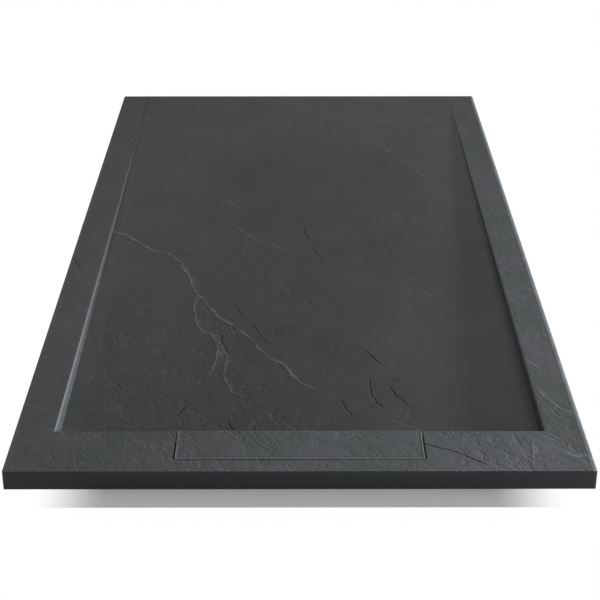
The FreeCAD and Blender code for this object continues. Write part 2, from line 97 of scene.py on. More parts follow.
# ---- how their points are laid and their edges treated
RECESS_RING = 35.0          # radius of a ring of points on the recess's floor
SEAT_RING = 40.0            # and of one on the seat
SIDE_RINGS = (22, 12)       # heights of the rings of points round the tray's sides
WALL_STEPS = 5              # of points down the trough's wall
BED_STEPS = 24              # and over its bed to the recess
CORNER_REACH = 10.0         # past a corner of the trough, where circles turn into squares
CORNER_SWING = 12.0         # before a sharp corner of the trough, where its loops swing
TRAY_FADE = 6.0             # inside the tray's edge, where its relief fades out
COVER_FADE = 3.0            # inside the cover's
BED_RELIEF = 0.5            # share of the relief that the trough's bed has
BED_FADE = 12.0             # round the recess, where it fades out
BARE_EDGE = 0.4             # outermost strip, that keeps the plain coat
LEFT_HIGHLIGHT = 0.38          # strength of the painted highlight on the left wall's top line
RIGHT_HIGHLIGHT = 0.05         # and the right one's
COVER_HIGHLIGHT = 0.36         # and the arris round the cover

BASIN_HALF = HALF_WIDTH - RIM_WIDTH
BASIN_REAR = HALF_LENGTH - RIM_WIDTH
BASIN_FRONT = COVER_HIGH[1]
BASIN_RUN = BASIN_REAR - BASIN_FRONT
LEAN = math.tan(WALL_DRAFT)
TROUGH_HALF = COVER_HIGH[0] + SIDE_GAP
TROUGH_FRONT = COVER_LOW[1] - FRONT_GAP
TROUGH_REAR = BASIN_FRONT + BASIN_DEPTH * LEAN

# ---- how the slate runs
GRAIN = math.radians(-57)   # of the clefts, from +X towards the drain end
COLUMN_STEP = 4.8           # of the tray's mesh across
ROW_STEP = (3.7, 6.8)       # and along, at the drain end and at the shallow end
COVER_STEP = 2.4            # of the cover's, both ways
WAVE_HEIGHT = 0.3           # of the broad waves, to each side of their middle
LAYER_DEPTH = 0.35          # of the mesh's layers to each side of their middle, together
LAYER_COUNT = 3             # of those layers
CLEFT_DEPTH = 0.35          # of one layer in the finish
FINISH_LAYERS = 9.0         # of them over the noise's whole range
CHIP_DEPTH = 3.0            # of a chip, in layers
CREASE_SHARE = 0.55         # of a chip's depth that a crease has
PECK_DEPTH = 0.4
COAT_GRAIN = 0.02
CRACK_WIDTH, CRACK_DEPTH = 2.7, 1.3
VEIN_WIDTH, VEIN_RISE = 1.5, 0.35
RIDGE_WIDTH, RIDGE_RISE = 4.0, 0.3      # of the low ridge that a vein lies on
TWIN_WIDTH, TWIN_SHIFT = 1.0, 4.0       # of the vein's twin, beside it

# Centre lines of the light veins and of the dark cracks: how strong each one is, then its
# points as (x, y) in mm from the tray's middle. One long vein runs from the left wall to
# the drain end and sends a branch forward that forks; the others are short and faint.
LIGHT_VEINS = [
    (1.0, [(-387, 38), (-360, 20), (-330, -15), (-295, -60), (-270, -65), (-235, -115),
           (-210, -195), (-200, -240), (-190, -265), (-178, -285), (-162, -325), (-148, -355),
           (-126, -383), (-105, -412), (-90, -435), (-73, -475), (-52, -513), (-28, -534),
           (-20, -555), (-11, -576), (2, -600), (18, -612), (40, -635)]),
    (0.75, [(-196, -255), (-196, -325), (-184, -390), (-175, -409), (-163, -417), (-151, -436),
            (-144, -470), (-145, -503), (-152, -550), (-158, -581)]),
    (0.75, [(-150, -430), (-139, -463), (-132, -489), (-127, -514), (-129, -547), (-130, -575),
            (-123, -602), (-113, -630), (-99, -642), (-84, -646), (-66, -653)]),
    (0.6, [(-130, -386), (-120, -412), (-107, -414)]),
    (0.3, [(-235, -545), (-231, -574), (-238, -609)]),
    (0.3, [(-178, -655), (-164, -672), (-147, -686)]),
    (0.35, [(-60, -685), (-48, -714), (-32, -744)]),
    (0.35, [(-170, 225), (-145, 180), (-120, 130)]),
    (0.5, [(-145, 90), (-115, 30), (-85, -15), (-35, -50), (5, -75)]),
    (0.25, [(-290, 400), (-230, 320)]),
    (0.5, [(200, 535), (225, 465), (240, 420)]),
    (0.35, [(250, 430), (275, 355), (290, 310)]),
    (0.5, [(145, 375), (200, 340), (230, 300)]),
    (0.3, [(10, 260), (40, 215), (85, 205)]),
    (0.3, [(175, 175), (225, 85)]),
    (0.3, [(-120, 10), (-108, -40), (-118, -90)]),
    (0.3, [(110, 300), (140, 255), (150, 220)]),
    (0.25, [(-60, 640), (-25, 590)]),
    (0.4, [(140, -708), (165, -733), (195, -752), (215, -770)]),
    (0.5, [(388, -540), (398, -560), (412, -585)]),
    (0.55, [(392, -635), (402, -675), (423, -710), (435, -723), (449, -736)]),
    (0.6, [(404, -838), (411, -846), (422, -857), (444, -853)]),
    (0.45, [(366, -795), (362, -834), (358, -880)]),
]
DARK_CRACKS = [
    (0.7, [(8, 65), (12, 30), (17, -10)]),
    (0.5, [(22, -45), (45, -110)]),
    (1.0, [(120, -488), (130, -510), (140, -534)]),
    (0.9, [(120, -575), (118, -635), (140, -695)]),
    (0.9, [(146, -600), (160, -640), (184, -684)]),
    (0.9, [(66, -650), (75, -685), (90, -712)]),
    (0.5, [(232, -215), (252, -260)]),
    (0.4, [(335, -608), (370, -622)]),
    (0.6, [(-447, -110), (-422, -190)]),
    (1.0, [(-198, -699), (-191, -683), (-182, -665)]),
    (1.0, [(-116, -725), (-106, -748), (-95, -795)]),
    (1.0, [(192, -820), (211, -830), (226, -835), (247, -848), (266, -866), (292, -886)]),
    (0.5, [(-120, -300), (-110, -338), (-95, -365)]),
    (0.55, [(-88, -372), (-71, -421), (-54, -472)]),
    (0.7, [(-146, -408), (-137, -451), (-123, -500)]),
    (1.0, [(-122, -392), (-116, -403), (-110, -412)]),
]
VEIN_REACH = 10.0           # how far from its centre line a vein is worked out
SEAM_RISE = 35.0            # from its end, over which a seam comes up to its strength


# ---------------------------------------------------------------- numbers on arrays
def smooth_between(low, high, value):
    """0 below low, 1 above high, and the cubic 3t2 - 2t3 between them."""
    t = np.clip((value - low) / (high - low), 0, 1)
    return t * t * (3 - 2 * t)


def lattice_noise(x, y, cell, seed):
    """Noise from -1 to 1: random values on a square lattice of this cell, joined smoothly."""
    table = np.random.default_rng(seed).uniform(-1, 1, (128, 128))
    u, v = x / cell + 500.37, y / cell + 500.71
    i, j = np.floor(u).astype(int), np.floor(v).astype(int)
    s, t = smooth_between(0, 1, u - i), smooth_between(0, 1, v - j)
    i, j = i % 127, j % 127
    low = table[j, i] * (1 - s) + table[j, i + 1] * s
    high = table[j + 1, i] * (1 - s) + table[j + 1, i + 1] * s
    return low * (1 - t) + high * t


def layered_noise(x, y, cell, seed, layers=3):
    """Sum of noises, each of half the cell and half the height of the one before."""
    total = sum(lattice_noise(x, y, cell / 2**k, seed + k) / 2**k for k in range(layers))
    return total / (2 - 2.0 ** (1 - layers))


def along_grain(x, y):
    """Place along the slate's grain and across it, in mm."""
    return (x * math.cos(GRAIN) + y * math.sin(GRAIN),
            y * math.cos(GRAIN) - x * math.sin(GRAIN))


# ---------------------------------------------------------------- the tray's surface
def wall_fall(inside, depth, arris, foot):
    """Fall below the rim at a distance inside a wall's top line.

    An arc of the arris' radius, the leaning wall, an arc of the foot's radius, the floor.
    """
    bend = math.tan((math.pi / 2 - WALL_DRAFT) / 2)
    top, low = arris * bend, foot * bend
    arris_end = top * math.sin(WALL_DRAFT)
    foot_start = depth * LEAN - low * math.sin(WALL_DRAFT)
    foot_end = depth * LEAN + low
    on_arris = arris - np.sqrt(np.maximum(arris**2 - (inside + top) ** 2, 0))
    on_foot = depth - foot + np.sqrt(np.maximum(foot**2 - (foot_end - inside) ** 2, 0))
    return np.select([inside < -top, inside < arris_end, inside < foot_start, inside < foot_end],
                     [0.0, on_arris, inside / LEAN, on_foot], depth)


def basin_share(y):
    """1 at the basin's drain end and 0 where its floor meets the rear rim."""
    return np.clip((BASIN_REAR - y) / BASIN_RUN, 0, 1)


def basin_fall(x, y):
    """Fall of the basin below the rim: side walls that shrink with the depth, and a step."""
    share = np.maximum(basin_share(y), 1e-4)
    side = share * wall_fall((BASIN_HALF - np.abs(x)) / share, BASIN_DEPTH, WALL_ARRIS, WALL_FOOT)
    step = wall_fall(y - BASIN_FRONT, BASIN_DEPTH, STEP_ARRIS, STEP_FOOT)
    return np.minimum(side, step) * (basin_share(y) > 0)


def quarter_fall(edge, radius):
    """Fall of a quarter-round arris at this distance from the edge that it rounds."""
    return radius - np.sqrt(np.maximum(radius**2 - np.clip(radius - edge, 0, radius) ** 2, 0))


def cleft_share(x, y):
    """How strongly the slate is riven, from 0 to 1.

    Most on the left of the basin's front half and about the drain, more on the front rim's
    right end than on its left, a little on the right rim, and patchy all over.
    """
    patches = 0.8 + 0.6 * layered_noise(x, y, 170, 11)
    left_floor = (smooth_between(60, -90, x) * smooth_between(-150, -430, y)
                  * smooth_between(-BASIN_HALF, 60 - BASIN_HALF, x))
    near_drain = (smooth_between(20, -60, x) * smooth_between(-400, -560, y)
                  * smooth_between(-330, -200, x))
    front_rim = (smooth_between(BASIN_FRONT + 6, BASIN_FRONT, y)
                 * (0.42 + 0.4 * smooth_between(120, 260, x)))
    right_rim = smooth_between(BASIN_HALF - 4, BASIN_HALF, x) * smooth_between(300, -300, y)
    strong = np.maximum.reduce([0.75 * left_floor, near_drain, front_rim, 0.25 * right_rim])
    return np.clip((0.26 + 0.74 * strong) * patches, 0, 1)


def painted_slab_shading(x, y):
    """Painted light and shade for each place, as a factor on the resin's one colour.

    Painted shade darkens the basin about its middle against its walls and its front right
    corner, and darkens its left wall towards the rear. Painted light makes the floor paler
    beside the left wall, and the drain end of the rim paler right of the trough's left end.
    """
    rim = smooth_between(BASIN_FRONT + 6, BASIN_FRONT, y)
    paler = rim * (0.05 + 0.15 * smooth_between(-170, -20, x) * smooth_between(440, 330, x))
    on_floor = (1 - rim) * smooth_between(BASIN_HALF, BASIN_HALF - 8, np.abs(x))
    middle = (smooth_between(-320, -60, x) * smooth_between(0.05, 0.3, basin_share(y))
              * (1 - 0.6 * smooth_between(220, 380, x))
              * (1 - 0.7 * smooth_between(60, 240, x) * smooth_between(-100, -400, y)))
    beside_wall = smooth_between(55 - BASIN_HALF, 10 - BASIN_HALF, x) * basin_share(y)
    left_wall = (smooth_between(5 - BASIN_HALF, 2 - BASIN_HALF, x)
                 * smooth_between(-1 - BASIN_HALF, -BASIN_HALF, x))
    # painted shade: the left wall darkens towards the rear
    paler = paler - 0.4 * left_wall * (1 - rim) * smooth_between(-720, -150, y)
    # painted light beside the left wall, painted shade about the basin's middle
    return 1 + paler + on_floor * (0.3 * beside_wall - 0.2 * middle - 0.02)


def seam_field(x, y, seams):
    """Signed distance in mm to the nearest seam, and how strong that seam is there.

    A seam is a row of straight stretches. Its strength rises over 35 mm from each end, or
    over a quarter of a short seam, and fades out towards the reach on both sides. A seam of
    full strength has at least nine tenths of it on its first stretch.
    """
    nearest = np.full(x.shape, VEIN_REACH * 2)
    strength = np.zeros(x.shape)
    for weight, corners in seams:
        corners = np.array(corners, float)
        lengths = np.hypot(*np.diff(corners, axis=0).T)
        run = np.concatenate([[0], np.cumsum(lengths)]) / lengths.sum()
        for k, length in enumerate(lengths):
            way = (corners[k + 1] - corners[k]) / length
            gone_x, gone_y = x - corners[k, 0], y - corners[k, 1]
            along = np.clip(gone_x * way[0] + gone_y * way[1], 0, length)
            off_x, off_y = gone_x - along * way[0], gone_y - along * way[1]
            side = np.where(way[0] * gone_y - way[1] * gone_x < 0, -1, 1)
            away = np.hypot(off_x, off_y) * side
            at = run[k] + (run[k + 1] - run[k]) * along / length
            rise = min(0.25, SEAM_RISE / lengths.sum())
            taper = smooth_between(0, rise, at) * smooth_between(0, rise, 1 - at)
            taper = np.maximum(taper, (k == 0) * (weight == 1.0) * 0.9)
            closer = np.abs(away) < np.abs(nearest)
            nearest = np.where(closer, away, nearest)
            strength = np.where(closer, weight * taper, strength)
    fade = 1 - smooth_between(0.6 * VEIN_REACH, VEIN_REACH, np.abs(nearest))
    return np.clip(nearest, -VEIN_REACH, VEIN_REACH), strength * fade


def mark_slate(mesh, points, riven, painted_highlight):
    """Stores on each vertex what the slate's finish follows.

    That is its veins and cracks, how riven it is, its painted edge highlights, and its painted
    light and shade.
    """
    x, y = points[:, 0], points[:, 1]
    vein, vein_strength = seam_field(x, y, LIGHT_VEINS)
    crack, crack_strength = seam_field(x, y, DARK_CRACKS)
    marks = {"vein_offset": vein, "vein_strength": vein_strength * riven,
             "crack_offset": crack, "crack_strength": crack_strength * riven,
             "riven": riven, "cleft": cleft_share(x, y) * riven, "painted_highlight": painted_highlight,
             # painted light and shade over the slab
             "painted_shading": painted_slab_shading(x, y)}
    for name, values in marks.items():
        mark = mesh.attributes.new(name, "FLOAT", "POINT")
        mark.data.foreach_set("value", values.astype(np.float32))


def slate_relief(x, y):
    """Depth in mm below the surface's highest level.

    Broad waves, then short thin layers that end in steps: a noise stretched along the
    grain is cut into levels, and the edge of each level is a cleft.
    """
    along, across = along_grain(x, y)
    broad = WAVE_HEIGHT * (1 + layered_noise(x, y, 110, 3))
    layers = layered_noise(along / 1.4, across, 60, 23, 2) * LAYER_COUNT
    within = layers - np.floor(layers)
    steps = (np.floor(layers) + smooth_between(0.2, 0.8, within)) / LAYER_COUNT
    return broad + cleft_share(x, y) * LAYER_DEPTH * (1 - steps)


# ---------------------------------------------------------------- meshes
def round_corner(x, y, centre, radius, reach):
    """Squares about a corner's centre become circles, out to the radius.

    From there to the reach the circles turn back into squares. Only the quarter that lies
    away from the middle of the piece moves.
    """
    side = np.sign(centre)
    across, ahead = (x - centre[0]) * side[0], (y - centre[1]) * side[1]
    ring = np.maximum(across, ahead)
    quarter = (across > 0) & (ahead > 0)
    pull = ring / np.maximum(np.hypot(across, ahead), 1e-9)
    scale = 1 + (pull - 1) * (1 - smooth_between(radius, reach, ring))
    scale = np.where(quarter, scale, 1)
    return centre[0] + side[0] * across * scale, centre[1] + side[1] * ahead * scale


def round_corners(x, y, half, radius):
    """The four corners of a slab of this half size about the origin become round."""
    for side in np.array([(-1, -1), (-1, 1), (1, -1), (1, 1)]):
        x, y = round_corner(x, y, side * (np.array(half) - radius), radius, 2 * radius)
    return x, y


def from_edge(x, y, half):
    """Distance inside the nearest side of a slab of this half size about the origin."""
    return np.minimum(half[0] - np.abs(x), half[1] - np.abs(y))


def grid_faces(columns, rows, kept):
    """Quads of a grid that is stored row by row, facing up, for the cells that are kept."""
    corner = (np.arange(rows - 1)[:, None] * columns + np.arange(columns - 1)[None, :])[kept]
    return np.stack([corner, corner + 1, corner + columns + 1, corner + columns], axis=-1)


def block_edge(first, last, low, high, columns):
    """Points round a block of the grid, anticlockwise from its near left corner."""
    across, ahead = np.arange(first, last + 1), np.arange(low, high + 1)
    return np.concatenate([low * columns + across, ahead[1:] * columns + last,
                           high * columns + across[::-1][1:], ahead[::-1][1:-1] * columns + first])


def band_faces(loops, inward):
    """Quads between each loop of points and the next, for loops that turn anticlockwise."""
    after = np.roll(loops, -1, axis=1)
    a, b, c, d = loops[:-1], after[:-1], after[1:], loops[1:]
    order = [a, b, c, d] if inward else [a, d, c, b]
    return np.stack(order, axis=-1).reshape(-1, 4)


def turned(points, loop, centre):
    """A loop's points in the order of their angle about a centre, and those angles."""
    away = points[loop, :2] - centre
    angle = np.arctan2(away[:, 1], away[:, 0])
    order = np.argsort(angle)
    return loop[order], angle[order]


def fill_between(points, outer, inner, centre):
    """Triangles that face down between a loop and a loop inside it, both seen from a centre.

    Each edge of one loop is joined to the point of the other loop that its end has just
    passed, going round by angle.
    """
    outer, outer_angle = turned(points, outer, centre)
    inner, inner_angle = turned(points, inner, centre)
    passed = inner[np.searchsorted(inner_angle, outer_angle, side="right") - 1]
    outside = np.stack([outer, np.roll(outer, 1), passed], axis=-1)
    passed = outer[np.searchsorted(outer_angle, inner_angle, side="left") - 1]
    inside = np.stack([np.roll(inner, 1), inner, passed], axis=-1)
    return np.vstack([outside, inside])


def add_object(name, data):
    """New object in the scene, of this mesh, lamp or camera."""
    added = bpy.data.objects.new(name, data)
    bpy.context.scene.collection.objects.link(added)
    return added


def make_piece(name, points, quads, triangles, riven, painted_highlight):
    """Slate object at the origin from points in mm, without the points that no face uses."""
    faces = quads.tolist() + triangles.tolist()
    used = np.unique(np.concatenate([quads.ravel(), triangles.ravel()]))
    place = np.full(len(points), -1)
    place[used] = np.arange(len(used))
    mesh = bpy.data.meshes.new(name)
    mesh.from_pydata((points[used] * MM).tolist(), [], [[place[i] for i in f] for f in faces])
    mesh.shade_smooth()
    mesh.set_sharp_from_angle(angle=math.radians(40))
    mesh.update()
    mark_slate(mesh, points[used], riven[used], painted_highlight[used])
    return add_object(name, mesh)


def spaced(start, end, step):
    """Even stations from start to end, both kept, about a step apart."""
    return np.linspace(start, end, max(2, int(round(abs(end - start) / step)) + 1))


def joined(*runs):
    """Runs of stations as one rising list without repeats."""
    return np.unique(np.round(np.concatenate(runs), 4))


def arris_stations(radius, count=4):
    """Distances from an edge at even turns of the quarter round that it gets."""
    return radius * (1 - np.sin(np.linspace(0, math.pi / 2, count + 1)))


def tray_columns():
    """Stations across the tray, at the basin's full depth and where it has run out.

    The wall's are distances inside its top line, from the end of its foot up to its lip.
    """
    bend = math.tan((math.pi / 2 - WALL_DRAFT) / 2)
    lip = WALL_ARRIS * bend
    foot_end = BASIN_DEPTH * LEAN + WALL_FOOT * bend
    lean_in = 0.24          # sine of the draft
    foot_start = BASIN_DEPTH * LEAN - WALL_FOOT * bend * lean_in
    wall = np.array([foot_end, 5.3, 4.8, 4.3, foot_start, 2.4, 1.3, lip * lean_in, -0.25, -0.75,
                     -lip])
    edge = TROUGH_HALF + TROUGH_ARRIS
    corner = edge - TROUGH_CORNER - TROUGH_ARRIS
    floor = np.concatenate([spaced(0, corner, COLUMN_STEP)[:-1], np.linspace(corner, edge, 5),
                            edge + np.array([1.5, 4.0]),
                            spaced(edge + 8, BASIN_HALF - foot_end, COLUMN_STEP)])
    rim = spaced(BASIN_HALF + lip, HALF_WIDTH - OUTER_CORNER, COLUMN_STEP)[1:]
    outer = HALF_WIDTH - np.concatenate([[2.2], arris_stations(OUTER_ARRIS)])
    full = np.concatenate([floor, BASIN_HALF - wall[1:], rim, outer])
    rim_run = HALF_WIDTH - OUTER_CORNER - BASIN_HALF
    wider_rim = BASIN_HALF + (rim - BASIN_HALF - lip) * rim_run / (rim_run - lip)
    run_out = np.concatenate([floor * BASIN_HALF / (BASIN_HALF - foot_end),
                              np.full(len(wall) - 1, BASIN_HALF), wider_rim, outer])
    return tuple(np.concatenate([-half[:0:-1], half]) for half in (full, run_out))


def tray_rows():
    """Stations along the tray, close at the drain end and wider towards the rear."""
    outer = arris_stations(OUTER_ARRIS)
    edge = TROUGH_FRONT - TROUGH_ARRIS
    corner = edge + TROUGH_CORNER + TROUGH_ARRIS
    step = BASIN_FRONT + np.array([-0.8, -0.4, 0, 0.24, 1.2, 2.4, 3.5, 3.95, 4.6])
    trough_end = TROUGH_REAR + TROUGH_ARRIS
    near = spaced(corner, BASIN_FRONT - 2, ROW_STEP[0])
    count = int((BASIN_REAR - trough_end) / (sum(ROW_STEP) / 2))
    t = np.arange(1, count + 1) / count
    growth = (ROW_STEP[1] - ROW_STEP[0]) / sum(ROW_STEP)
    slope = trough_end + (BASIN_REAR - trough_end) * (t * (1 - growth) + t * t * growth)
    return joined(-HALF_LENGTH + outer, [-HALF_LENGTH + 2.2],
                  spaced(-HALF_LENGTH + OUTER_CORNER, edge - 8, ROW_STEP[0]),
                  [edge - 4, edge - 1.5], np.linspace(edge, corner, 5), near, step,
                  [trough_end], slope,
                  spaced(BASIN_REAR, HALF_LENGTH - OUTER_CORNER, 5), [HALF_LENGTH - 2.2],
                  HALF_LENGTH - outer)


def tray_top():
    """The tray's top: its points in mm, stored row by row, and its stations both ways.

    The lines across follow the basin's walls, and the lines near a corner turn into circles.
    """
    full, run_out = tray_columns()
    rows = tray_rows()
    run = BASIN_REAR - TROUGH_REAR - TROUGH_ARRIS
    share = np.clip((BASIN_REAR - rows) / run, 0.1, 1)[:, None]
    x = run_out + (full - run_out) * share
    y = np.repeat(rows[:, None], len(full), axis=1)
    edge = from_edge(x, y, TRAY_HALF)
    x, y = round_corners(x, y, TRAY_HALF, OUTER_CORNER)
    for side in (-1, 1):
        centre = (side * (TROUGH_HALF - TROUGH_CORNER), TROUGH_FRONT + TROUGH_CORNER)
        x, y = round_corner(x, y, centre, TROUGH_CORNER + TROUGH_ARRIS,
                            TROUGH_CORNER + CORNER_REACH)
    relief = slate_relief(x, y) * smooth_between(0, TRAY_FADE, edge)
    z = RIM - quarter_fall(edge, OUTER_ARRIS) - basin_fall(x, y) - relief
    return np.stack([x, y, z], axis=-1).reshape(-1, 3), full, rows


def trough_loops(start):
    """Loops of points from the trough's edge in to the seat under the waste hole.

    They go over the arris, down the wall, round its foot and across the bed, and then down
    through the flange's recess and the hole, out to the seat and to the underside.
    """
    inward = trough_inward(start)
    turn = np.radians([30, 60, 90])
    offsets = [TROUGH_ARRIS * np.sin(a) for a in turn]
    levels = [start[:, 2] - TROUGH_ARRIS * (1 - np.cos(a)) for a in turn]
    foot_top = TROUGH_BED + TROUGH_FOOT
    for share_down in np.linspace(0, 1, WALL_STEPS + 1)[1:]:
        offsets.append(TROUGH_ARRIS)
        levels.append((start[:, 2] - TROUGH_ARRIS) * (1 - share_down) + foot_top * share_down)
    for a in turn:
        offsets.append(TROUGH_ARRIS + TROUGH_FOOT * (1 - np.cos(a)))
        levels.append(np.full(len(start), foot_top - TROUGH_FOOT * np.sin(a)))
    loops = [np.column_stack([start[:, :2] + inward * offset, level])
             for offset, level in zip(offsets, levels)]
    foot = loops[-1]
    angle = np.sort(np.unwrap(np.arctan2(foot[:, 1] - WASTE_Y, foot[:, 0])))

    def circle(radius, level):
        return np.column_stack([radius * np.cos(angle), WASTE_Y + radius * np.sin(angle),
                                np.full(len(angle), level)])

    recess = circle(RECESS_RADIUS, TROUGH_BED)
    for share_in in np.linspace(0, 1, BED_STEPS + 1)[1:]:
        bed = foot + (recess - foot) * share_in
        calm = smooth_between(RECESS_RADIUS, RECESS_RADIUS + BED_FADE,
                              np.hypot(bed[:, 0], bed[:, 1] - WASTE_Y))
        calm = calm * smooth_between(0, 0.1, share_in)
        bed[:, 2] -= BED_RELIEF * slate_relief(bed[:, 0], bed[:, 1]) * calm
        loops.append(bed)
    return loops + [circle(RECESS_RADIUS, RECESS_FLOOR), circle(RECESS_RING, RECESS_FLOOR),
                    circle(HOLE_RADIUS, RECESS_FLOOR), circle(HOLE_RADIUS, SEAT_DEPTH),
                    circle(SEAT_RING, SEAT_DEPTH), circle(SEAT_RADIUS, SEAT_DEPTH),
                    circle(SEAT_RADIUS, 0)]


def trough_inward(start):
    """Way into the trough from each point of its edge: square to it, or to a corner's centre.

    Towards the two sharp corners at the rear it swings to the diagonal over 12 mm, so that
    a loop moved inwards doesn't cross itself there.
    """
    x, y = start[:, 0], start[:, 1]
    side = np.sign(x)
    centre_x, centre_y = TROUGH_HALF - TROUGH_CORNER, TROUGH_FRONT + TROUGH_CORNER
    rounded = (np.abs(x) > centre_x + 1e-6) & (y < centre_y - 1e-6)
    to_centre = np.column_stack([side * centre_x - x, centre_y - y])
    to_centre /= np.maximum(np.linalg.norm(to_centre, axis=1, keepdims=True), 1e-9)
    to_rear = TROUGH_REAR + TROUGH_ARRIS - y
    to_side = TROUGH_HALF + TROUGH_ARRIS - np.abs(x)
    sideways = np.clip(1 - to_side / CORNER_SWING, 0, 1)
    sideways = sideways * ((to_rear < CORNER_SWING) | (to_side < 1e-3))
    in_front = y < centre_y - TROUGH_CORNER
    across = np.where(in_front, 0, -side * sideways)
    ahead = np.where(in_front, 1, -np.clip(1 - to_rear / CORNER_SWING, 0, 1))
    return np.where(rounded[:, None], to_centre, np.column_stack([across, ahead]))


def side_loops(edge, half, middle, levels, bottom):
    """Loops from a slab's top edge down its sides, the last one tucked in by the bevel."""
    loops = [np.column_stack([edge[:, :2], np.full(len(edge), level)]) for level in levels]
    tuck = np.array(half) - BOTTOM_BEVEL
    tucked = np.clip(edge[:, :2] - middle, -tuck, tuck) + middle
    return loops + [np.column_stack([tucked, np.full(len(edge), bottom)])]


def loop_ids(edge, start, count):
    """Numbers of the points on an edge and on the loops that are stored from a start on."""
    return np.vstack([edge, start + np.arange(count * len(edge)).reshape(count, -1)])


def tray_marks(points):
    """Where the tray has the slate's finish, and where its edges get a painted highlight.

    Painted highlights lie on the top lines of the basin's side walls, the left one more than
    the right, and on the tray's right edge as far as it faces up.
    """
    x, y, z = points.T
    inside = from_edge(x, y, TRAY_HALF) > BARE_EDGE
    riven = ((z > TROUGH_BED - 0.8) & inside).astype(float)
    crest = np.abs(np.abs(x) - BASIN_HALF + 0.2)
    # painted highlight on the top lines of the basin's side walls
    painted_highlight = (1 - smooth_between(0.3, 1.3, crest)) * riven * basin_share(y)
    painted_highlight = painted_highlight * (y > BASIN_FRONT) * np.where(x < 0, LEFT_HIGHLIGHT, RIGHT_HIGHLIGHT)
    painted_highlight = painted_highlight * (0.6 + 0.4 * smooth_between(200, -300, y))
    # painted highlight along the tray's right outer arris
    right_arris_highlight = 1 - smooth_between(2.4, 4.8, HALF_WIDTH - x)
    return riven, np.maximum(painted_highlight, right_arris_highlight * (z > RIM - 0.5 * OUTER_ARRIS))


def make_tray():
    """One closed shell: the top as a grid, the trough and the waste hole as loops inside it.

    A block of cells is left out for the trough, and its edge is carried in and down through
    the trough, the waste's recess and hole and the seat under it, out to the underside.
    """
    top, full, rows = tray_top()
    columns = len(full)
    hole_x = TROUGH_HALF + TROUGH_ARRIS
    first, last = np.searchsorted(full, [-hole_x - 0.01, hole_x - 0.01])
    low, high = np.searchsorted(rows, [TROUGH_FRONT - TROUGH_ARRIS - 0.01,
                                       TROUGH_REAR + TROUGH_ARRIS - 0.01])
    kept = np.ones((len(rows) - 1, columns - 1), bool)
    kept[low:high, first:last] = False
    faces = [grid_faces(columns, len(rows), kept)]

    mouth = block_edge(first, last, low, high, columns)
    loops = trough_loops(top[mouth])
    inner = loop_ids(mouth, len(top), len(loops))
    faces.append(band_faces(inner, inward=True))

    rim = block_edge(0, columns - 1, 0, len(rows) - 1, columns)
    sides = side_loops(top[rim], TRAY_HALF, 0, (*SIDE_RINGS, BOTTOM_BEVEL), 0)
    outer = loop_ids(rim, len(top) + len(loops) * len(mouth), len(sides))
    faces.append(band_faces(outer, inward=False))

    points = np.vstack([top, *loops, *sides])
    under = fill_between(points, outer[-1], inner[-1], np.array([0, WASTE_Y]))
    return make_piece("slate_tray", points, np.vstack(faces), under, *tray_marks(points))


def cover_stations(half):
    """Stations from one edge of the cover to the other, half of it to each side."""
    arris = arris_stations(COVER_ARRIS)
    between = spaced(-half + COVER_CORNER, half - COVER_CORNER, COVER_STEP)
    return joined(-half + arris, [-half + 1.5], between, [half - 1.5], half - arris)


def make_cover():
    """Closed slab: the riven top as a grid, its edge carried down to a flat underside.

    The underside is a fan of triangles about its middle.
    """
    half = (COVER_HIGH[0], (COVER_HIGH[1] - COVER_LOW[1]) / 2)
    middle = (COVER_LOW[1] + COVER_HIGH[1]) / 2
    across, ahead = (cover_stations(reach) for reach in half)
    x, y = np.meshgrid(across, ahead)
    edge = from_edge(x, y, half)
    x, y = round_corners(x, y, half, COVER_CORNER)
    y = y + middle
    relief = slate_relief(x, y) * smooth_between(0, COVER_FADE, edge)
    z = RIM - quarter_fall(edge, COVER_ARRIS) - relief
    top = np.stack([x, y, z], axis=-1).reshape(-1, 3)
    columns, rows = len(across), len(ahead)
    rim = block_edge(0, columns - 1, 0, rows - 1, columns)
    low = COVER_LOW[2]
    sides = side_loops(top[rim], half, [0, middle], (low + 4, low + BOTTOM_BEVEL), low)
    ids = loop_ids(rim, len(top), len(sides))
    faces = [grid_faces(columns, rows, np.ones((rows - 1, columns - 1), bool)),
             band_faces(ids, inward=False)]
    points = np.vstack([top, *sides, [[0, middle, low]]])
    around, _ = turned(points, ids[-1], np.array([0, middle]))
    under = np.stack([around, np.roll(around, 1), np.full(len(around), len(points) - 1)], axis=-1)
    riven = (points[:, 2] > RIM - COVER_ARRIS - 0.9).astype(float)
    # painted highlight round the cover's arris
    crest = from_edge(points[:, 0], points[:, 1] - middle, half)
    painted_highlight = COVER_HIGHLIGHT * (1 - smooth_between(0.9, 1.8, crest))
    painted_highlight = painted_highlight * (points[:, 2] > RIM - 1.8 * COVER_ARRIS)
    return make_piece("slate_drain_cover", points, np.vstack(faces), under, riven, painted_highlight)


# ---------------------------------------------------------------- materials
SMOOTH = {"interpolation_type": "SMOOTHSTEP"}
COLOUR = {"data_type": "RGBA"}
MULTIPLIED = {"data_type": "RGBA", "blend_type": "MULTIPLY"}


def linear(code):
    """sRGB hex code as linear red, green, blue and alpha."""
    parts = [int(code[i:i + 2], 16) / 255 for i in (1, 3, 5)]
    return [p / 12.92 if p <= 0.04045 else ((p + 0.055) / 1.055) ** 2.4 for p in parts] + [1]


def add_node(tree, kind, sockets=None, **properties):
    """Node of this kind. A socket gets a number, a colour or the output that feeds it."""
    node = tree.nodes.new(kind)
    for name, value in properties.items():
        setattr(node, name, value)
    for name, value in (sockets or {}).items():
        if isinstance(value, bpy.types.NodeSocket):
            tree.links.new(value, node.inputs[name])
        else:
            node.inputs[name].default_value = value
    return node


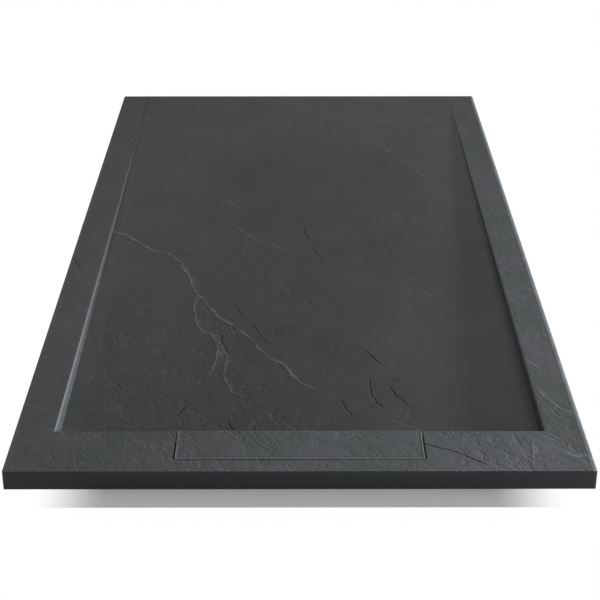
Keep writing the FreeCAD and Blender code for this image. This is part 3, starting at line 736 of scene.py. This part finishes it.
def new_material(name, roughness, level):
    """Material with a Principled surface of even roughness and reflection."""
    material = bpy.data.materials.new(name)
    material.use_nodes = True
    shader = material.node_tree.nodes["Principled BSDF"]
    shader.inputs["Roughness"].default_value = roughness
    shader.inputs["Specular IOR Level"].default_value = level
    return material, material.node_tree, shader


def per_metre(size):
    """Scale of a pattern whose features have this size in millimetres."""
    return 1 / (size * MM)


def drifting(tree, shader, colour, drift, share, roughness):
    """A colour that drifts in lightness by a share, while the roughness drifts by 0.05.

    Both follow the same noise, between its levels of 0.3 and 0.7.
    """
    paler, duller = (
        add_node(tree, "ShaderNodeMapRange", {
            "Value": drift, "From Min": 0.3, "From Max": 0.7, "To Min": middle - reach,
            "To Max": middle + reach}).outputs[0]
        for middle, reach in ((1, share), (roughness, 0.05)))
    tree.links.new(duller, shader.inputs["Roughness"])
    return add_node(tree, "ShaderNodeMix", {0: 1.0, 6: colour, 7: paler}, **MULTIPLIED).outputs[2]


def slate_line(tree, seam, width, wobble, shift=0.0):
    """A seam's strength within 0.3 widths of its line, and 0 from one width on.

    The line is bent by the wobble and lies off the seam's centre by the shift, in mm.
    """
    offset, strength = (
        add_node(tree, "ShaderNodeAttribute", attribute_name=f"{seam}_{part}").outputs["Fac"]
        for part in ("offset", "strength"))
    bent = add_node(tree, "ShaderNodeMath", {0: offset, 1: wobble}, operation="ADD").outputs[0]
    moved = add_node(tree, "ShaderNodeMath", {0: bent, 1: shift}, operation="SUBTRACT").outputs[0]
    away = add_node(tree, "ShaderNodeMath", {0: moved}, operation="ABSOLUTE").outputs[0]
    line = add_node(tree, "ShaderNodeMapRange", {
        "Value": away, "From Min": 0.3 * width, "From Max": width, "To Min": 1.0,
        "To Max": 0.0}, **SMOOTH).outputs[0]
    return add_node(tree, "ShaderNodeMath", {0: line, 1: strength}, operation="MULTIPLY").outputs[0]


def slate_seams(tree, place):
    """How far a place lies on a pale vein, on the low ridge under it and on a dark crack.

    The seams wander from their centre lines by a noise of 20 mm and a weaker one of 10 mm.
    Another noise makes stretches of a vein faint, and others double, 4 mm apart.
    """
    wander = add_node(tree, "ShaderNodeTexNoise", {
        "Vector": place, "Scale": per_metre(20), "Detail": 1.5}).outputs[0]
    wobble = add_node(tree, "ShaderNodeMapRange", {
        "Value": wander, "To Min": -5.0, "To Max": 5.0}).outputs[0]
    vein = slate_line(tree, "vein", VEIN_WIDTH, wobble)
    twin = slate_line(tree, "vein", TWIN_WIDTH, wobble, TWIN_SHIFT)
    stretches = add_node(tree, "ShaderNodeTexNoise", {
        "Vector": place, "Scale": per_metre(26), "Detail": 2.0}).outputs[0]
    shows, doubled = (
        add_node(tree, "ShaderNodeMapRange", {
            "Value": stretches, "From Min": low, "From Max": 0.6, "To Min": least}).outputs[0]
        for low, least in ((0.35, 0.35), (0.5, 0.0)))
    vein, twin = (
        add_node(tree, "ShaderNodeMath", {0: line, 1: share}, operation="MULTIPLY").outputs[0]
        for line, share in ((vein, shows), (twin, doubled)))
    pale = add_node(tree, "ShaderNodeMath", {0: vein, 1: twin}, operation="MAXIMUM").outputs[0]
    ridge = slate_line(tree, "vein", RIDGE_WIDTH, wobble)
    return pale, ridge, slate_line(tree, "crack", CRACK_WIDTH, wobble)


def slate_height(tree, place, riven, cleft, pale, ridge, crack):
    """Relief of the slate's finish in mm.

    Chips are spots where a noise of 17 mm runs high, in clumps of 70 mm. Creases are lines
    where a noise of 18 mm crosses its middle, and they follow the grain, in clumps of 55 mm.
    Under both are thin layers whose broken edges follow the levels of a noise of 62 mm.
    Pecks are spots where a noise of 15 mm runs high, in the chips' clumps. The gel coat's
    own grain is drawn at 2 mm so that it shows. Cracks are cut in, and a vein is a low ridge.
    """
    grain, long_grain = (
        add_node(tree, "ShaderNodeMapping", {
            "Vector": place, "Rotation": (0, 0, GRAIN), "Scale": (longer, 1, 1)},
            vector_type="TEXTURE").outputs[0]
        for longer in (1.4, 2.0))
    chip_clumps, crease_clumps, chips, pecks = (
        add_node(tree, "ShaderNodeMapRange", {
            "Value": add_node(tree, "ShaderNodeTexNoise", {
                "Vector": vector, "Scale": per_metre(size), **detail}).outputs[0],
            "From Min": low, "From Max": high}, **SMOOTH).outputs[0]
        for vector, size, detail, low, high in (
            (place, 70, {"Detail": 1.0}, 0.42, 0.58),
            (grain, 55, {"Detail": 1.0}, 0.48, 0.62),
            (place, 17, {"Detail": 3.0, "Roughness": 0.58, "Distortion": 0.5}, 0.53, 0.63),
            (grain, 15, {"Detail": 2.0, "Distortion": 0.4}, 0.6, 0.72)))
    creases = add_node(tree, "ShaderNodeTexNoise", {
        "Vector": long_grain, "Scale": per_metre(18), "Detail": 2.0,
        "Distortion": 0.5}).outputs[0]
    creases = add_node(tree, "ShaderNodeMath", {0: creases, 1: 0.5},
                       operation="SUBTRACT").outputs[0]
    creases = add_node(tree, "ShaderNodeMath", {0: creases}, operation="ABSOLUTE").outputs[0]
    creases = add_node(tree, "ShaderNodeMapRange", {
        "Value": creases, "From Max": 0.08, "To Min": 1.0, "To Max": 0.0}, **SMOOTH).outputs[0]
    chips, creases, pecks = (
        add_node(tree, "ShaderNodeMath", {0: part, 1: clumps}, operation="MULTIPLY").outputs[0]
        for part, clumps in ((chips, chip_clumps), (creases, crease_clumps), (pecks, chip_clumps)))
    broken = add_node(tree, "ShaderNodeMath", {0: creases, 1: CREASE_SHARE, 2: chips},
                      operation="MULTIPLY_ADD").outputs[0]

    layers = add_node(tree, "ShaderNodeTexNoise", {
        "Vector": grain, "Scale": per_metre(62), "Detail": 3.0, "Distortion": 0.6}).outputs[0]
    layers = add_node(tree, "ShaderNodeMath", {0: layers, 1: FINISH_LAYERS},
                      operation="MULTIPLY").outputs[0]
    level, within = (add_node(tree, "ShaderNodeMath", {0: layers}, operation=part).outputs[0]
                     for part in ("FLOOR", "FRACT"))
    ramp = add_node(tree, "ShaderNodeMapRange", {
        "Value": within, "From Min": 0.3, "From Max": 0.7}, **SMOOTH).outputs[0]
    steps = add_node(tree, "ShaderNodeMath", {0: level, 1: ramp}, operation="ADD").outputs[0]
    height = add_node(tree, "ShaderNodeMath", {0: broken, 1: -CHIP_DEPTH, 2: steps},
                      operation="MULTIPLY_ADD").outputs[0]
    for share in (cleft, CLEFT_DEPTH):
        height = add_node(tree, "ShaderNodeMath", {0: height, 1: share},
                          operation="MULTIPLY").outputs[0]

    pecks = add_node(tree, "ShaderNodeMath", {0: pecks, 1: riven}, operation="MULTIPLY").outputs[0]
    coat = add_node(tree, "ShaderNodeTexNoise", {
        "Vector": place, "Scale": per_metre(2), "Detail": 1.0}).outputs[0]
    for part, rise in ((pecks, -PECK_DEPTH), (coat, COAT_GRAIN), (crack, -CRACK_DEPTH),
                       (pale, VEIN_RISE), (ridge, RIDGE_RISE)):
        height = add_node(tree, "ShaderNodeMath", {0: part, 1: rise, 2: height},
                          operation="MULTIPLY_ADD").outputs[0]
    return height


def slate_gel_coat():
    """Mineral resin with a matte gel coat, cast in a mould taken from riven slate.

    To the eye: a dead flat anthracite with a breath of blue and green, short thin clefts
    that lean along the grain, pale hair-fine veins and a few dark cracks. The edges are
    smooth, and the underside is the raw back of the casting.
    """
    roughness = 0.7
    material, tree, shader = new_material("matte_slate_gel_coat", roughness, 0.25)
    place = add_node(tree, "ShaderNodeTexCoord").outputs["Object"]
    # the last two attributes carry painted light and shade, and painted highlights on edges
    riven, cleft, painted_shading, edge_highlight = (
        add_node(tree, "ShaderNodeAttribute", attribute_name=name).outputs["Fac"]
        for name in ("riven", "cleft", "painted_shading", "painted_highlight"))
    pale, ridge, crack = slate_seams(tree, place)

    # patches a hand wide that lean to blue and to green, and a mottle of 26 mm by which the
    # coat's lightness drifts by 11 %
    patches = add_node(tree, "ShaderNodeTexNoise", {
        "Vector": place, "Scale": per_metre(120), "Detail": 4.0, "Roughness": 0.6}).outputs[0]
    tint = add_node(tree, "ShaderNodeValToRGB", {"Fac": patches})
    for stop, position, code in zip(tint.color_ramp.elements, (0.35, 0.65), ("#3c3e41", "#373a3b")):
        stop.position, stop.color = position, linear(code)
    mottle = add_node(tree, "ShaderNodeTexNoise", {
        "Vector": place, "Scale": per_metre(26), "Detail": 3.0, "Roughness": 0.6}).outputs[0]
    colour = drifting(tree, shader, tint.outputs[0], mottle, 0.11, roughness)
    for share, code in ((pale, "#66696c"), (crack, "#17181a")):
        colour = add_node(tree, "ShaderNodeMix", {0: share, 6: colour, 7: linear(code)},
                          **COLOUR).outputs[2]

    # painted shade: the coat is darker the deeper it lies below the rim and lighter on it, and
    # painted light and shade drift over the slab. Edges keep the plain coat, some of them get a
    # painted highlight, and the underside is ground resin.
    level = add_node(tree, "ShaderNodeSeparateXYZ", {0: place}).outputs["Z"]
    shade = add_node(tree, "ShaderNodeMapRange", {
        "Value": level, "From Min": (RIM - BASIN_DEPTH) * MM, "From Max": (RIM - 1.5) * MM,
        "To Min": 0.8, "To Max": 1.12}).outputs[0]
    shade = add_node(tree, "ShaderNodeMath", {0: shade, 1: painted_shading}, operation="MULTIPLY").outputs[0]
    colour = add_node(tree, "ShaderNodeMix", {0: 1.0, 6: colour, 7: shade},
                      **MULTIPLIED).outputs[2]
    colour = add_node(tree, "ShaderNodeMix", {0: riven, 6: linear("#393c3e"), 7: colour},
                      **COLOUR).outputs[2]
    back = add_node(tree, "ShaderNodeMath", {0: level, 1: 0.2 * MM},
                    operation="LESS_THAN").outputs[0]
    # 828588 is a painted highlight on the edges; #6f6d69 is the ground underside
    for share, code in ((edge_highlight, "#828588"), (back, "#6f6d69")):
        colour = add_node(tree, "ShaderNodeMix", {0: share, 6: colour, 7: linear(code)},
                          **COLOUR).outputs[2]
    tree.links.new(colour, shader.inputs["Base Color"])

    height = slate_height(tree, place, riven, cleft, pale, ridge, crack)
    bump = add_node(tree, "ShaderNodeBump", {
        "Height": height, "Distance": MM, "Strength": 1.0}).outputs[0]
    tree.links.new(bump, shader.inputs["Normal"])
    return material


def moulded(name, code, roughness, level, grain_size, grain_depth, soft=0.0):
    """Injection-moulded plastic or rubber with the grain of its mould.

    Along the flow of the melt, over about 25 mm, the colour's lightness drifts by 4 %. The
    grain is drawn at 0.5 to 1.2 mm, coarser than a real mould's, so that it shows.
    """
    material, tree, shader = new_material(name, roughness, level)
    if soft:
        shader.inputs["Subsurface Weight"].default_value = soft
        shader.inputs["Subsurface Radius"].default_value = (1.0, 0.9, 0.8)
        shader.inputs["Subsurface Scale"].default_value = 1.5 * MM
    place = add_node(tree, "ShaderNodeTexCoord").outputs["Object"]
    flow = add_node(tree, "ShaderNodeTexNoise", {
        "Vector": place, "Scale": per_metre(25), "Detail": 2.0, "Distortion": 0.8}).outputs[0]
    colour = drifting(tree, shader, linear(code), flow, 0.04, roughness)
    tree.links.new(colour, shader.inputs["Base Color"])
    grain = add_node(tree, "ShaderNodeTexNoise", {
        "Vector": place, "Scale": per_metre(grain_size), "Detail": 3.0}).outputs[0]
    bump = add_node(tree, "ShaderNodeBump", {
        "Height": grain, "Distance": grain_depth * MM, "Strength": 1.0}).outputs[0]
    tree.links.new(bump, shader.inputs["Normal"])
    return material


SLATE = slate_gel_coat()
# to the eye: near-black rubber that hardly shines, smooth grey plastic with a soft sheen,
# and a milky white plastic that light sinks into a little
RUBBER = moulded("moulded_epdm_rubber", "#1b1b1c", 0.62, 0.4, 0.8, 0.03)
GREY = moulded("satin_grey_abs", "#85888b", 0.34, 0.5, 0.5, 0.012)
WHITE = moulded("waxy_white_polypropylene", "#d9d9d4", 0.42, 0.45, 1.2, 0.02, soft=0.25)

tray = make_tray()
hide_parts("tray_body")
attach(tray, "tray")
cover = make_cover()
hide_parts("drain_cover")
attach(cover, "cover")
for piece in (tray, cover):
    piece.data.materials.append(SLATE)

FINISHES = [
    (RUBBER, ("cover_feet", "flange_seal", "body_seal", "dip_tube_ring", "outlet_cone_seal")),
    (GREY, ("waste_flange", "dip_tube", "hair_strainer")),
    (WHITE, ("trap_body", "outlet_slip_ring", "outlet_nut")),
]
for finish, names in FINISHES:
    for name in names:
        nodes[name].data.materials.clear()
        nodes[name].data.materials.append(finish)


# ---------------------------------------------------------------- stage, light and camera
WORLD_LIGHT = 0.45          # of the surroundings on the tray
FLOOR_GLOW = 0.12           # that lifts the shadow on the floor
FLOOR_HALF = 12.0           # half the floor's width, in metres
FLOOR_TUCK = 3.0            # of the floor's inner edge under the tray
FLOOR_DROP = 0.05           # of the floor below the tray's underside
SHADOW_END = (165.0, 45.0)  # the shadow fades out between these insets from the tray's side


def make_floor():
    """Pale floor that the tray's edge rests on, open inside it, where the trap hangs.

    It keeps the tray's shadow in the middle and turns plain white towards both sides, so
    the shadow's ends fade out over 120 mm.
    """
    corners = np.array([[-1, -1], [1, -1], [1, 1], [-1, 1]])
    inner = corners * [(HALF_WIDTH - FLOOR_TUCK) * MM, (HALF_LENGTH - FLOOR_TUCK) * MM]
    points = [(*p, -FLOOR_DROP * MM) for p in np.vstack([FLOOR_HALF * corners, inner])]
    faces = [(k, (k + 1) % 4, 4 + (k + 1) % 4, 4 + k) for k in range(4)]
    mesh = bpy.data.meshes.new("floor")
    mesh.from_pydata(points, [], faces)
    mesh.materials.append(studio_floor())
    floor = add_object("floor", mesh)
    return floor


def studio_floor():
    """White-painted studio floor: seen pale grey in the shadow and plain white elsewhere.

    Rays that are seen meet the paint with its glow, mixed with plain white towards both
    sides. Light that bounces off the floor on to the tray meets a plain grey.
    """
    material = bpy.data.materials.new("white_studio_floor")
    material.use_nodes = True
    tree = material.node_tree
    tree.nodes.clear()
    path = add_node(tree, "ShaderNodeLightPath").outputs
    seen = path["Is Camera Ray"]
    for ray in ("Is Glossy Ray", "Is Transmission Ray"):
        seen = add_node(tree, "ShaderNodeMath", {0: seen, 1: path[ray]},
                        operation="MAXIMUM").outputs[0]
    paint = add_node(tree, "ShaderNodeBsdfDiffuse", {"Color": linear("#cccccc")}).outputs[0]
    glow, white = (
        add_node(tree, "ShaderNodeEmission", {
            "Color": (1, 1, 1, 1), "Strength": strength}).outputs[0]
        for strength in (FLOOR_GLOW, 1.0))
    lit = add_node(tree, "ShaderNodeAddShader", {0: paint, 1: glow}).outputs[0]
    place = add_node(tree, "ShaderNodeTexCoord").outputs["Object"]
    across = add_node(tree, "ShaderNodeSeparateXYZ", {0: place}).outputs["X"]
    across = add_node(tree, "ShaderNodeMath", {0: across}, operation="ABSOLUTE").outputs[0]
    start, end = ((HALF_WIDTH - inset) * MM for inset in SHADOW_END)
    wash = add_node(tree, "ShaderNodeMapRange", {
        "Value": across, "From Min": start, "From Max": end}, **SMOOTH).outputs[0]
    shown = add_node(tree, "ShaderNodeMixShader", {0: wash, 1: lit, 2: white}).outputs[0]
    bounce = add_node(tree, "ShaderNodeBsdfDiffuse", {"Color": linear("#808080")}).outputs[0]
    both = add_node(tree, "ShaderNodeMixShader", {0: seen, 1: bounce, 2: shown}).outputs[0]
    add_node(tree, "ShaderNodeOutputMaterial", {"Surface": both})
    return material


def light_world():
    """Even surroundings, seen as plain white and lighting the tray softly."""
    world = bpy.data.worlds.new("studio")
    bpy.context.scene.world = world
    world.use_nodes = True
    tree = world.node_tree
    tree.nodes.clear()
    path = add_node(tree, "ShaderNodeLightPath").outputs
    seen = add_node(tree, "ShaderNodeMath", {
        0: path["Is Camera Ray"], 1: path["Is Transmission Ray"]}, operation="MAXIMUM").outputs[0]
    strength = add_node(tree, "ShaderNodeMapRange", {
        "Value": seen, "To Min": WORLD_LIGHT, "To Max": 1.0}).outputs[0]
    sky = add_node(tree, "ShaderNodeBackground", {
        "Color": (1, 1, 1, 1), "Strength": strength}).outputs[0]
    add_node(tree, "ShaderNodeOutputWorld", {"Surface": sky})


def add_lamp(name, place, target, size, power):
    """Soft rectangular lamp at a place in metres that faces a target."""
    data = bpy.data.lights.new(name, "AREA")
    data.shape = "RECTANGLE"
    data.size, data.size_y = size
    data.energy = power
    lamp = add_object(name, data)
    lamp.location = place
    lamp.rotation_euler = (Vector(target) - Vector(place)).to_track_quat("-Z", "Y").to_euler()
    lamp.visible_camera = False
    return lamp


def add_sun():
    """Narrow sun from behind and above, whose shadow is the strip in front of the tray."""
    data = bpy.data.lights.new("floor_sun", "SUN")
    data.energy = 5.9
    data.angle = math.radians(1)
    sun = add_object("floor_sun", data)
    sun.rotation_euler = (math.radians(-57.5), 0, 0)
    return sun


def lights_floor(lamp, floor, only):
    """A lamp lights either the floor only or everything but the floor."""
    chosen = bpy.data.collections.new(f"{lamp.name}_floor")
    chosen.objects.link(floor)
    chosen.collection_objects[0].light_linking.link_state = "INCLUDE" if only else "EXCLUDE"
    lamp.light_linking.receiver_collection = chosen


floor = make_floor()
light_world()
lamps = [
    add_lamp("key_softbox", (2.4, 0.4, 2.0), (0, -0.2, 0), (1.2, 1.2), 24),
    add_lamp("low_softbox", (1.9, -0.55, 0.2), (0, -0.45, 0), (1.4, 0.14), 97),
    add_lamp("front_softbox", (1.0, -1.2, 2.2), (0, -0.3, 0), (1.2, 1.2), 11),
    add_lamp("top_softbox", (0, 0.6, 2.4), (0, 0, 0), (1.6, 1.6), 10),
]
sun = add_sun()
for lamp in lamps:
    lights_floor(lamp, floor, only=False)
lights_floor(sun, floor, only=True)

# the camera stands where the photo's did, as fitted to the slab's six visible corners
camera_data = bpy.data.cameras.new("camera")
camera_data.sensor_width = 36
camera_data.lens = 89.9
camera = add_object("camera", camera_data)
camera.location = (-0.0036, -2.8199, 1.2521)
camera.rotation_euler = (math.radians(64.09), 0, math.radians(-0.116))
bpy.context.scene.camera = camera
bpy.context.scene.view_settings.view_transform = "Standard"
